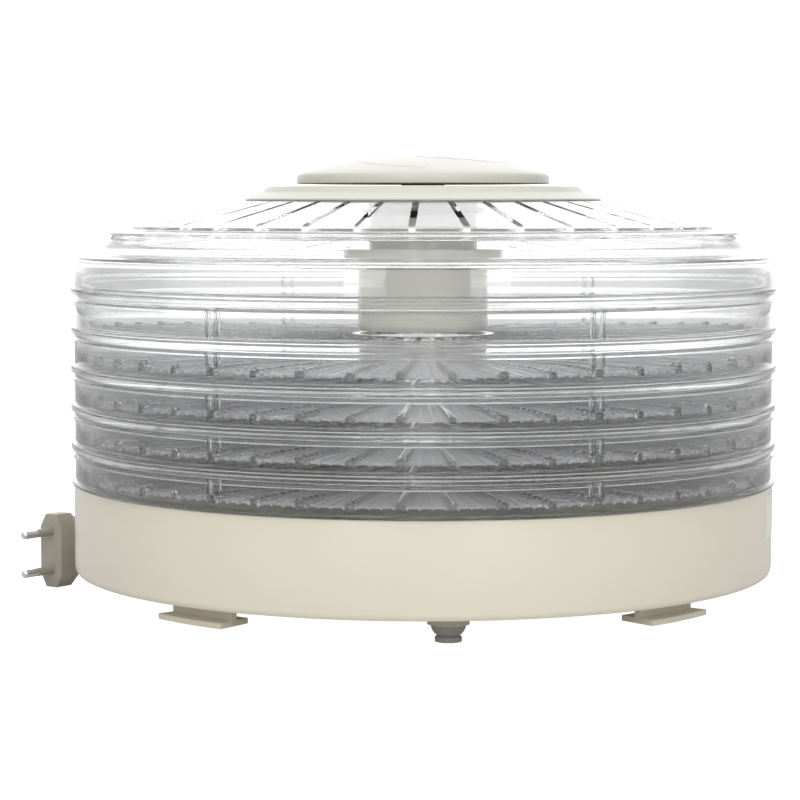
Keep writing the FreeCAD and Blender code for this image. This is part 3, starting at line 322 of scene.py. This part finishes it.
def smoothing():
    """Node group that shades a mesh smooth except at its sharp edges."""
    group = bpy.data.node_groups.new("smooth_by_angle", "GeometryNodeTree")
    group.interface.new_socket("Geometry", in_out="INPUT", socket_type="NodeSocketGeometry")
    group.interface.new_socket("Geometry", in_out="OUTPUT", socket_type="NodeSocketGeometry")
    nodes, links = group.nodes, group.links
    entry = nodes.new("NodeGroupInput")
    faces = nodes.new("GeometryNodeSetShadeSmooth")
    edges = nodes.new("GeometryNodeSetShadeSmooth")
    edges.domain = "EDGE"
    edges.inputs["Shade Smooth"].default_value = False
    angle = nodes.new("GeometryNodeInputMeshEdgeAngle")
    sharp = nodes.new("FunctionNodeCompare")
    sharp.operation = "GREATER_THAN"
    sharp.inputs["B"].default_value = SMOOTH_ANGLE
    leave = nodes.new("NodeGroupOutput")
    links.new(entry.outputs["Geometry"], faces.inputs["Geometry"])
    links.new(faces.outputs["Geometry"], edges.inputs["Geometry"])
    links.new(angle.outputs["Unsigned Angle"], sharp.inputs["A"])
    links.new(sharp.outputs["Result"], edges.inputs["Selection"])
    links.new(edges.outputs["Geometry"], leave.inputs["Geometry"])
    return group


# Edge rounding, in millimetres, of CAD nodes that no piece made here stands for.
EDGE_ROUND = {
    "base_housing": 0.5, "bottom_cover": 0.4, "plug_body": 1.2, "plug_pins": 0.3, "outlet_grille": 0.3,
    "terminal_block": 0.4, "cord_clamp": 0.4, "motor_coil": 0.8, "fan_impeller": 0.3,
}


def finish_nodes():
    """Give every CAD node its slot's finish and smooth shading, and some of them soft edges."""
    group = smoothing()
    for entry in frame["record"]["subparts"]:
        name = entry["node"]
        node = frame["nodes"][name]
        node.data.materials.clear()
        node.data.materials.append(finish_of[entry["material_slot"]])
        weld = node.modifiers.new("weld", "WELD")
        weld.merge_threshold = 1e-6
        if name in EDGE_ROUND:
            bevel = node.modifiers.new("bevel", "BEVEL")
            bevel.width = EDGE_ROUND[name] * MM
            bevel.segments = 3
            bevel.limit_method = "ANGLE"
            bevel.angle_limit = BEVEL_ANGLE
        smooth = node.modifiers.new("smooth", "NODES")
        smooth.node_group = group


def dress(obj, slot, body, *nodes):
    """Finish a piece from a material slot, ride it on a body and let it stand for nodes."""
    obj.data.materials.append(finish_of[slot])
    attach(obj, body)
    if nodes:
        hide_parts(*nodes)
    return obj


# ---- Camera ----

CAMERA_DISTANCE, CAMERA_HEIGHT = 1.120, 0.1845   # metres
CAMERA_PITCH, CAMERA_YAW = 4.63, 0.54            # degrees down and to the left
CAMERA_SENSOR, CAMERA_LENS = 36, 109.4           # millimetres


def make_camera():
    data = bpy.data.cameras.new("camera")
    data.sensor_width = CAMERA_SENSOR
    data.lens = CAMERA_LENS
    camera = new_object("camera", data)
    camera.location = (0, -CAMERA_DISTANCE, CAMERA_HEIGHT)
    camera.rotation_euler = (math.radians(90 - CAMERA_PITCH), 0, math.radians(CAMERA_YAW))
    data.clip_start = 0.05
    data.clip_end = 30
    bpy.context.scene.camera = camera


# ---- Cord ----

# The cord's route, as the CAD tubes run, in millimetres: from the strain relief
# down to the floor, and from the coil round to the plug's tail.
CORD_RUN = [
    (0, 192, 30), (0, 207, 29.3), (-1, 224, 22.8), (-4.5, 241, 13), (-12, 256.5, 5.6),
    (-25, 267.5, 3.1), (-42, 273, 3), (-61, 274.3, 3), (-82.5, 273.3, 3),
]
CORD_LEAD = [
    (-138, 218.5, 7.5), (-138.3, 202, 4), (-140.5, 184, 3), (-145, 166, 3), (-148.5, 148, 3),
    (-149, 130, 3.6), (-146.5, 113, 8), (-147, 97, 13.5), (-151.3, 82, 17), (-157.94, 69.22, 17.65),
]
CORD_RADIUS = 3.0
COIL_TURNS = 4.25
COIL_POINTS = 14                 # control points for each turn


def coil_route(centre, outer, inner):
    """Turns that wind inwards on the floor and outwards again on a second layer."""
    route = []
    total = round(COIL_TURNS * COIL_POINTS)
    climb_start, climb_span = 0.46, 0.12     # parts of the coil's length
    for i in range(1, total + 1):
        part = i / total
        angle = math.radians(90) + 2 * math.pi * COIL_TURNS * part
        inward = 1 - abs(1 - 2 * part)
        radius = outer + (inner - outer) * inward
        lift = min(1, max(0, (part - climb_start) / climb_span))
        route.append((
            centre[0] + radius * math.cos(angle),
            centre[1] + radius * math.sin(angle),
            CORD_RADIUS + 2 * CORD_RADIUS * lift * lift * (3 - 2 * lift),
        ))
    return route


def make_cord():
    low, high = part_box("cord_coil")
    centre = ((low.x + high.x) / 2 / MM, (low.y + high.y) / 2 / MM)
    outer = (high.x - low.x) / 2 / MM - CORD_RADIUS
    coil = coil_route(centre, outer, outer - 4 * CORD_RADIUS)
    route = CORD_RUN + [(centre[0], centre[1] + outer, CORD_RADIUS)] + coil + CORD_LEAD
    curve = bpy.data.curves.new("mains_cord", "CURVE")
    curve.dimensions = "3D"
    spline = curve.splines.new("NURBS")
    spline.points.add(len(route) - 1)
    for point, place in zip(spline.points, route):
        point.co = (*(c * MM for c in place), 1)
    spline.order_u = 3
    spline.use_endpoint_u = True
    curve.bevel_depth = CORD_RADIUS * MM
    curve.bevel_resolution = 6
    curve.resolution_u = 8
    cord = new_object("mains_cord", curve)
    dress(cord, "cord_plastic", "base", "cord_run", "cord_coil", "cord_lead")
    tie = make_tie(centre, outer)
    boot = make_boot()


def make_tie(centre, outer):
    """Flat tie round the turns of the coil, on its right side."""
    shape = Shape()
    middle = outer - 2 * CORD_RADIUS
    half_wide, half_tall = 3.5 * CORD_RADIUS, 2.1 * CORD_RADIUS
    half_long, thick = 2.2, 0.8
    angle = math.radians(20)
    ring = []
    steps = 24
    for step in range(steps):
        turn = 2 * math.pi * step / steps
        across = half_wide * math.copysign(abs(math.cos(turn)) ** 0.55, math.cos(turn))
        up = half_tall * math.copysign(abs(math.sin(turn)) ** 0.7, math.sin(turn))
        ring.append((middle + across, 2 * CORD_RADIUS + 0.1 + up))
    rings = []
    for wide, grow in ((-half_long, 0), (-half_long, thick), (half_long, thick), (half_long, 0)):
        loop = []
        for reach, up in ring:
            spread = middle + (reach - middle) * (1 + grow / half_wide)
            spot = Vector((spread, wide, max(0.05, up + grow * 0.4)))
            spot = Matrix.Rotation(angle, 3, "Z") @ spot
            loop.append((spot.x + centre[0], spot.y + centre[1], spot.z))
        rings.append(loop)
    first = len(shape.points)
    count = len(ring)
    for loop in rings:
        shape.points.extend(loop)
    for level in range(4):
        here = first + level * count
        there = first + (level + 1) % 4 * count
        for i in range(count):
            j = (i + 1) % count
            shape.faces.append((here + i, here + j, there + j, there + i))
    tie = shape.build("cord_tie")
    return dress(tie, "dark_rubber", "base")


def make_boot():
    """Strain relief with a plain collar and ring-shaped ribs that get smaller to its tip."""
    low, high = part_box("strain_relief")
    height = (low.z + high.z) / 2
    start, end = low.y / MM, high.y / MM
    outline = [(0.01, start), (8.5, start), (8.5, start + 5.2), (5.9, start + 5.2), (5.9, start + 8.2),
               (7.5, start + 8.2), (7.5, start + 11), (6.0, start + 11.6)]
    ribs = 7
    reach = start + 12
    pitch = (end - 2 - reach) / ribs
    for i in range(ribs):
        radius = 5.6 - 1.6 * i / ribs
        outline += [(radius, reach + i * pitch), (radius, reach + (i + 0.6) * pitch),
                    (radius - 0.9, reach + (i + 0.7) * pitch), (radius - 0.9, reach + (i + 0.95) * pitch)]
    outline += [(4.0, end - 2), (4.0, end), (0.01, end)]
    shape = Shape()
    shape.lathe(rounded(outline, 0.35, 2), 48)
    turn = Matrix.Rotation(math.radians(-90), 3, "X")
    shape.points = [tuple(turn @ Vector(point)) for point in shape.points]
    shape.points = [(x, y, z + height / MM) for x, y, z in shape.points]
    boot = shape.build("cord_boot")
    return dress(boot, "cord_plastic", "base", "strain_relief")


# ---- Clear tiers ----

def tier_wall(shape, joint, pitch):
    """Wall of one tier with its rims, ridge and skirt."""
    shape.lathe(rounded([
        (SKIRT_IN, -SKIRT_DROP), (SKIRT_OUT, -SKIRT_DROP), (SKIRT_OUT, JOINT_GAP), (RIM, JOINT_GAP),
        (RIM, RIM_HIGH), (WALL_OUT, RIM_HIGH), (WALL_OUT, RIDGE_LOW), (RIDGE, RIDGE_LOW), (RIDGE, RIDGE_HIGH),
        (WALL_OUT, RIDGE_HIGH), (WALL_OUT, pitch - RIM_HIGH), (RIM, pitch - RIM_HIGH),
        (RIM, pitch - JOINT_GAP), (WALL_IN, pitch - JOINT_GAP), (WALL_IN, RIM_HIGH), (SKIRT_IN, RIM_HIGH),
    ], 0.35), height=joint)


def tier_posts(shape, joint, low):
    """Posts that stiffen the wall: a thin web with a rib along each side."""
    web_in, web_wide, rib_wide = 156.2, 4.6, 1.1
    for i in range(POSTS):
        angle = TIER_TURN + 2 * math.pi * i / POSTS
        shape.bar(angle, web_in, POST_OUT, web_wide, joint + low, joint + POST_TOP)
        for side in (-1, 1):
            turn = angle + side * web_wide / 2 / SKIRT_OUT
            shape.bar(turn, POST_IN, POST_OUT, rib_wide, joint + low, joint + POST_TOP, crown=0.4)


def tray_ribs(shape, joint):
    """Hub, and long and short ribs that end in arches at the wall."""
    hub = [(HUB_IN, RIB_LOW), (HUB_OUT, RIB_LOW), (HUB_OUT, RIB_TOP), (HUB_IN, RIB_TOP)]
    shape.lathe(rounded(hub, 0.6), 96, joint)
    for i in range(RIBS):
        angle = TIER_TURN + 2 * math.pi * i / RIBS
        shape.bar(angle, 32.9, RIB_END, 3.4, joint + RIB_LOW, joint + RIB_TOP, crown=1.0)
        shape.bar(angle, 155.2, RIB_END, 4.6, joint + 3.0, joint + 8.4, crown=2.0)
        angle += math.pi / RIBS
        shape.bar(angle, 92, RIB_END, 2.5, joint + RIB_LOW, joint + 6.6, crown=0.8)
        shape.bar(angle, 155.4, RIB_END, 3.4, joint + 3.0, joint + 7.4, crown=1.6)


def tray_mesh(shape, joint):
    """Fine rings and bars between the ribs; fewer bars reach inwards than start at the wall."""
    ring, outermost, ring_wide = 39.0, 154, 1.1
    while ring < outermost:
        edge = ring + ring_wide
        shape.lathe([(ring, MESH_LOW), (edge, MESH_LOW), (edge, MESH_TOP), (ring, MESH_TOP)], 120, joint)
        ring += MESH_PITCH
    bars = RIBS * 8
    reaches = (HUB_OUT, 99.0, 63.0, 99.0)
    for i in range(bars):
        angle = TIER_TURN + 2 * math.pi * (i + 0.5) / bars
        shape.bar(angle, reaches[i % 4], 157.4, 1.0, joint + MESH_LOW, joint + MESH_TOP)


def make_tiers():
    for name in TIERS:
        joint = low_of(name) + SKIRT_DROP
        pitch = top_of(name) - joint
        shape = Shape()
        tier_wall(shape, joint, pitch)
        floored = name.startswith("tray")
        tier_posts(shape, joint, RIB_TOP if floored else 1.6)
        if floored:
            tray_ribs(shape, joint)
            mesh = Shape()
            tray_mesh(mesh, joint)
            piece = mesh.build(f"{name}_mesh", smooth=False)
            dress(piece, "clear_plastic", f"{name}_body")
            piece.data.materials[0] = FROST
        dress(shape.build(f"{name}_clear"), "clear_plastic", f"{name}_body", name)


# ---- Lid and vent ----

def make_lid():
    """Clear lid with rounded corners and radial slots with rounded ends."""
    crown = top_of("lid")
    foot = low_of("lid") + SKIRT_DROP
    crown_edge = 82.5
    slope = 11.4 / 51.7          # fall of the slotted cone outside the crown
    ends = [84.0, 84.4, 85.5, 107.0, 128.5, 129.6, 130.0]
    widths = [0.3, 1.1, 1.5, 1.5, 1.5, 1.1, 0.3]

    def cone(radius):
        return crown - max(0.0, radius - crown_edge) * slope

    outside = rounded([
        (SKIRT_OUT, foot - SKIRT_DROP), (SKIRT_OUT, foot + JOINT_GAP), (RIM, foot + JOINT_GAP),
        (RIM, foot + RIM_HIGH), (160.4, foot + RIM_HIGH), (158.6, 160.6), (157.0, 161.5), (150.1, 162.0),
        (142.0, 170.3), (145.2, 170.4), (145.2, 171.4), (134.8, 172.4), (134.2, 174.2),
        (131.5, cone(131.5))], 0.7)[:-4]
    inside = rounded([
        (131.5, cone(131.5) - LID_THICK), (133.0, 172.1), (133.3, 170.4), (139.8, 169.1), (148.9, 159.9),
        (155.6, 159.4), (156.8, 158.2), (158.6, foot + RIM_HIGH), (SKIRT_IN, foot + RIM_HIGH),
        (SKIRT_IN, foot - SKIRT_DROP)], 0.7)[4:]
    top = [(radius, cone(radius)) for radius in reversed(ends)]
    bottom = [(radius, cone(radius) - LID_THICK) for radius in ends]
    brim = [(crown_edge, crown), (70.3, crown), (70.0, crown - 0.3), (70.0, crown - 1.7),
            (70.3, crown - LID_THICK), (crown_edge, crown - LID_THICK)]
    outline = outside + top + brim + bottom + inside
    first_top = len(outside)
    first_bottom = first_top + len(top) + len(brim)
    zone = range(len(ends) - 1)
    open_spans = {first_top + i for i in zone} | {first_bottom + i for i in zone}
    half_width = {first_top + i: w for i, w in enumerate(reversed(widths))}
    half_width |= {first_bottom + i: w for i, w in enumerate(widths)}

    columns = 8                  # for each slot: its two edges and six between slots
    shape = Shape()
    count = len(outline)
    period = 2 * math.pi / SLOTS
    for slot in range(SLOTS):
        for column in range(columns):
            for i, (radius, z) in enumerate(outline):
                edge = half_width.get(i, 1.5) / radius
                part = (column - 1) / (columns - 1)
                angle = -edge if column == 0 else edge + part * (period - 2 * edge)
                angle += SLOT_TURN + slot * period
                shape.points.append((radius * math.cos(angle), radius * math.sin(angle), z))
    total = SLOTS * columns
    for column in range(total):
        here = column * count
        there = (column + 1) % total * count
        is_slot = column % columns == 0
        for i in range(count):
            j = (i + 1) % count
            if not (is_slot and i in open_spans):
                shape.faces.append((here + i, there + i, there + j, here + j))
        if is_slot:
            slot_walls(shape, here, there, first_top, first_bottom, len(ends))
    dress(shape.build("lid_clear"), "clear_plastic", "lid_body", "lid")


def slot_walls(shape, near, far, first_top, first_bottom, count):
    """The two long sides and the two ends of one slot, between the lid's top and bottom."""
    for k in range(count - 1):
        up, up_next = first_top + k, first_top + k + 1
        down, down_next = first_bottom + count - 1 - k, first_bottom + count - 2 - k
        shape.faces.append((near + up, near + up_next, near + down_next, near + down))
        shape.faces.append((far + up, far + down, far + down_next, far + up_next))
    for up, down, flip in ((first_top, first_bottom + count - 1, False),
                           (first_top + count - 1, first_bottom, True)):
        face = (near + up, near + down, far + down, far + up)
        shape.faces.append(tuple(reversed(face)) if flip else face)


def sector(shape, inner, outer, start, end, low, high, steps=10):
    """Closed block between two radii and two angles in degrees."""
    rings = []
    for step in range(steps + 1):
        angle = math.radians(start + (end - start) * step / steps)
        c, s = math.cos(angle), math.sin(angle)
        rings.append([(inner * c, inner * s, low), (outer * c, outer * s, low),
                      (outer * c, outer * s, high), (inner * c, inner * s, high)])
    shape.solid(rings)


def make_collar():
    """Fixed vent ring: sloping skirt, flat web with six windows, hub and spigot."""
    low, high = low_of("vent_collar"), top_of("vent_collar")
    seat = top_of("lid")
    web = high - 2
    hub_edge, web_edge = 16.0, 52.0
    shape = Shape()
    shape.lathe(rounded([
        (81.6, seat + 0.02), (81.6, seat + 0.9), (74.0, 189.2), (71.5, high), (web_edge, high),
        (web_edge, web), (67.5, web), (67.5, low), (69.7, low), (69.7, seat + 0.02)], 0.8, 4))
    hub = [(7.05, high), (7.05, 188.6), (11.0, 188.6), (11.0, web), (hub_edge, web), (hub_edge, high)]
    shape.lathe(rounded(hub, 0.3), 96)
    for i in range(6):
        sector(shape, hub_edge, web_edge, 15 + 60 * i, 45 + 60 * i, web, high)
    dress(shape.build("collar_shell"), "white_plastic", "lid_body", "vent_collar")


def make_knob():
    """Domed knob with a hollow underside, a stem, and raised swirls on its top."""
    top, low = top_of("vent_knob") - 0.5, 193.2
    radius = radius_of("vent_knob")
    shoulder = radius - 3
    rise = 7.2
    sphere = (shoulder ** 2 + rise ** 2) / (2 * rise)

    def dome(reach):
        return top - sphere + math.sqrt(sphere ** 2 - reach ** 2)

    steps = 16
    outer = [(shoulder * i / steps, dome(shoulder * i / steps)) for i in range(1, steps + 1)]
    outer[0:0] = [(0.01, top)]
    rim = rounded([
        outer[-1], (radius - 0.6, 197.6), (radius, 196.2), (radius, low), (radius - 2, low),
        (radius - 2, 195.6), (shoulder - 2, 196.6), (10.0, 203.6), (10.0, 192.12), (7.2, 192.12), (7.0, 192.12),
        (7.0, 191.92), (7.0, 188.3), (1.6, 188.3), (1.6, 197.0), (0.01, 197.0)], 0.9, 4)[4:]
    shape = Shape()
    shape.lathe(outer + rim)
    swirls = 3
    for i in range(swirls):
        rings = []
        count = 40
        for step in range(count + 1):
            part = step / count
            angle = 2 * math.pi * (i / swirls + 0.42 * part)
            reach = 6 + 44 * part
            wide = 0.4 + 3.2 * math.sin(math.pi * part)
            tall = 0.25 + 0.3 * math.sin(math.pi * part)
            ring = []
            for across, up in ((-1, -0.6), (-0.6, 0.55), (0, 1), (0.6, 0.55), (1, -0.6)):
                r = reach + across * wide
                ring.append((r * math.cos(angle), r * math.sin(angle), dome(abs(r)) + up * tall))
            rings.append(ring)
        shape.solid(rings)
    dress(shape.build("knob_shell", sharp=50), "white_plastic", "vent_body", "vent_knob")


def make_cup():
    """White cup below the lid: neck, wide collar and a body that narrows at its mouth."""
    low, high = low_of("vent_cup"), top_of("vent_cup")
    flange = radius_of("vent_cup")
    shape = Shape()
    shape.lathe(rounded([
        (1.6, high), (25.0, high), (25.0, 168.0), (flange, 168.0), (flange, 159.1), (29.9, 159.1),
        (29.9, 125.0), (28.6, low), (26.8, low), (28.1, 125.0), (28.1, 160.9), (flange - 1.8, 160.9),
        (flange - 1.8, 166.2), (23.0, 166.2), (23.0, high - 2), (1.6, high - 2)], 0.8, 4), 160)
    cup = shape.build("cup_shell")
    dress(cup, "white_plastic", "vent_body", "vent_cup")
    # Painted light: the cup gets a brighter copy of the white plastic that the knob and collar wear, to stand
    # in for light it lacks in the shade under the lid.
    cup.data.materials[0] = solid_plastic("painted_light_cup_plastic", (0.90, 0.89, 0.80), rough=(0.2, 0.3), coat=0.4)


def make_label():
    """Blank rating label on the right of the base."""
    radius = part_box("base_housing")[1].x / MM + 0.06
    shape = Shape()
    sector(shape, radius, radius + 0.12, -19, 12, 36, 55, steps=20)
    label = shape.build("blank_label", smooth=False)
    dress(label, "base_plastic", "base")
    label.data.materials[0] = solid_plastic("label_paper", (0.78, 0.77, 0.72), rough=(0.5, 0.6))


# ---- Studio ----

DIM = 0.3                        # strength of the world on its dim sides


def rise_along(nodes, links, axes, axis, span, high):
    """Strength that rises from dim to high along one axis."""
    rise = nodes.new("ShaderNodeMapRange")
    rise.inputs["From Min"].default_value, rise.inputs["From Max"].default_value = span
    rise.inputs["To Min"].default_value = DIM
    rise.inputs["To Max"].default_value = high
    links.new(axes.outputs[axis], rise.inputs["Value"])
    return rise.outputs["Result"]


def brighter(nodes, links, first, second):
    strength = nodes.new("ShaderNodeMath")
    strength.operation = "MAXIMUM"
    for source, socket in zip((first, second), strength.inputs):
        if isinstance(source, float):
            socket.default_value = source
        else:
            links.new(source, socket)
    return strength.outputs["Value"]


def seen_white(nodes, links, strength, target):
    """The camera itself sees plain white; light on the object has the given strength."""
    path = nodes.new("ShaderNodeLightPath")
    links.new(brighter(nodes, links, strength, path.outputs["Is Camera Ray"]), target)


def split_axes(nodes, links, coordinates):
    place = nodes.new("ShaderNodeTexCoord")
    axes = nodes.new("ShaderNodeSeparateXYZ")
    links.new(place.outputs[coordinates], axes.inputs["Vector"])
    return axes


def make_world():
    """Bright backdrop and ceiling; the sides and the camera's side are dim, so clear edges show."""
    world = bpy.data.worlds.new("studio")
    bpy.context.scene.world = world
    world.use_nodes = True
    nodes, links = world.node_tree.nodes, world.node_tree.links
    background = nodes["Background"]
    background.inputs["Color"].default_value = (1, 1, 1, 1)
    axes = split_axes(nodes, links, "Generated")
    backdrop = rise_along(nodes, links, axes, "Y", (0.6, 0.92), 1.9)
    ceiling = rise_along(nodes, links, axes, "Z", (0.05, 0.5), 1.6)
    aside = nodes.new("ShaderNodeMath")
    aside.operation = "ABSOLUTE"
    links.new(axes.outputs["X"], aside.inputs[0])
    fade = nodes.new("ShaderNodeMapRange")
    fade.inputs["From Min"].default_value, fade.inputs["From Max"].default_value = 0.2, 0.8
    fade.inputs["To Min"].default_value, fade.inputs["To Max"].default_value = 1.0, 0.4
    links.new(aside.outputs["Value"], fade.inputs["Value"])
    overhead = nodes.new("ShaderNodeMath")
    overhead.operation = "MULTIPLY"
    links.new(ceiling, overhead.inputs[0])
    links.new(fade.outputs["Result"], overhead.inputs[1])
    strength = brighter(nodes, links, backdrop, overhead.outputs["Value"])
    seen_white(nodes, links, strength, background.inputs["Strength"])


def area_light(name, place, target, width, height, power):
    data = bpy.data.lights.new(name, "AREA")
    data.shape = "RECTANGLE"
    data.size = width
    data.size_y = height
    data.energy = power
    light = new_object(name, data)
    light.location = place
    light.rotation_euler = (Vector(target) - Vector(place)).to_track_quat("-Z", "Y").to_euler()


def make_studio():
    make_world()
    middle = (0, 0, 0.12)
    area_light("left_softbox", (-0.55, -1.7, 0.75), middle, 0.4, 0.8, 6)
    area_light("right_softbox", (0.65, -1.7, 0.75), middle, 0.4, 0.8, 5)
    mesh = bpy.data.meshes.new("floor")
    side, near, far = 6.0, -4.0, 2.3
    mesh.from_pydata([(-side, near, 0), (side, near, 0), (side, far, 0), (-side, far, 0)], [], [(0, 1, 2, 3)])
    floor = new_object("floor", mesh)
    floor.location.z = -0.0002
    made, nodes, links, shader = material("floor_paper")
    shader.inputs["Base Color"].default_value = (0.45, 0.45, 0.45, 1)
    shader.inputs["Roughness"].default_value = 0.9
    shader.inputs["Emission Color"].default_value = (1, 1, 1, 1)
    seen_white(nodes, links, 0.12, shader.inputs["Emission Strength"])
    sides = nodes.new("ShaderNodeNewGeometry")
    see_through = nodes.new("ShaderNodeMath")
    see_through.operation = "SUBTRACT"
    see_through.inputs[0].default_value = 1.0
    links.new(sides.outputs["Backfacing"], see_through.inputs[1])
    links.new(see_through.outputs["Value"], shader.inputs["Alpha"])
    mesh.materials.append(made)
    bpy.context.scene.view_settings.view_transform = "Standard"


make_camera()
finish_nodes()
make_cord()
make_tiers()
make_lid()
make_collar()
make_knob()
make_cup()
make_label()
make_studio()
